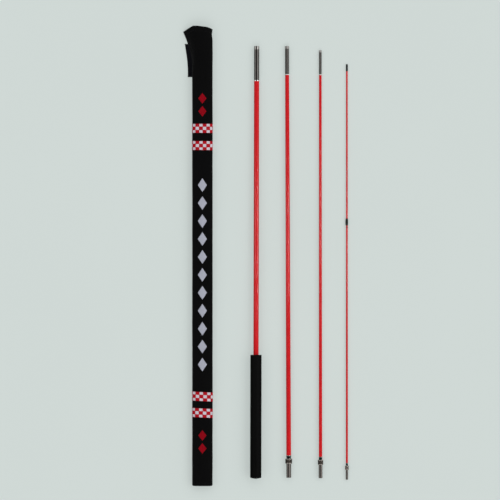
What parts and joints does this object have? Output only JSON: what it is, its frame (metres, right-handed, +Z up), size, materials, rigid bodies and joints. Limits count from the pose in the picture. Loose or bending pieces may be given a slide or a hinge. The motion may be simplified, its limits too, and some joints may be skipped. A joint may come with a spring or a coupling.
{
  "type": "sectional flagpole with carry bag",
  "caption": "Hand flagpole taken apart into tapered red plug-in sections with a foam grip, metal spigots and sockets, laid out beside its long black cloth carry bag.",
  "frame": {"origin": "on the floor, at the centre of the whole layout seen from above", "axes": "+Y along the pole sections from their feet to their tops, +X from the bag towards the tip section, +Z up from the floor"},
  "size_m": [0.3976, 1.106, 0.03],
  "materials": {
    "red_glass_fibre": "smooth red lacquer over glass fibre",
    "socket_metal": "drawn tube, brushed along its length",
    "bright_metal": "turned and lightly polished",
    "collar_metal": "knurled and darkened",
    "grip_foam": "closed-cell foam, finely pored",
    "black_rubber": "smooth moulded rubber",
    "dark_red_ring": "dark red band",
    "bag_cloth": "black woven nylon",
    "hook_tape": "dark hook tape",
    "checked_ribbon": "woven ribbon in red and white squares"
  },
  "bodies": {
    "root": {"handle_tube": "red_glass_fibre", "handle_grip": "grip_foam", "handle_butt_cap": "black_rubber", "handle_socket": "socket_metal", "handle_socket_rim": "bright_metal", "lower_tube": "red_glass_fibre", "lower_socket": "socket_metal", "lower_socket_rim": "bright_metal", "lower_tube_band": "bright_metal", "lower_spigot": "bright_metal", "lower_collar": "collar_metal", "upper_tube": "red_glass_fibre", "upper_socket": "socket_metal", "upper_socket_rim": "bright_metal", "upper_tube_band": "bright_metal", "upper_spigot": "bright_metal", "upper_collar": "collar_metal", "tip_rod": "red_glass_fibre", "tip_cap": "black_rubber", "flag_stop": "black_rubber", "flag_stop_ring": "dark_red_ring", "tip_rod_band": "bright_metal", "tip_spigot": "bright_metal", "tip_collar": "collar_metal", "bag_front_panel": "bag_cloth", "bag_back_panel": "bag_cloth", "bag_side_fold": "bag_cloth", "bag_side_seam": "bag_cloth", "bag_end_panel": "bag_cloth", "bag_mouth_flap": "bag_cloth", "bag_hook_tape": "hook_tape", "bag_upper_ribbons": "checked_ribbon", "bag_lower_ribbons": "checked_ribbon"}
  },
  "joints": []
}
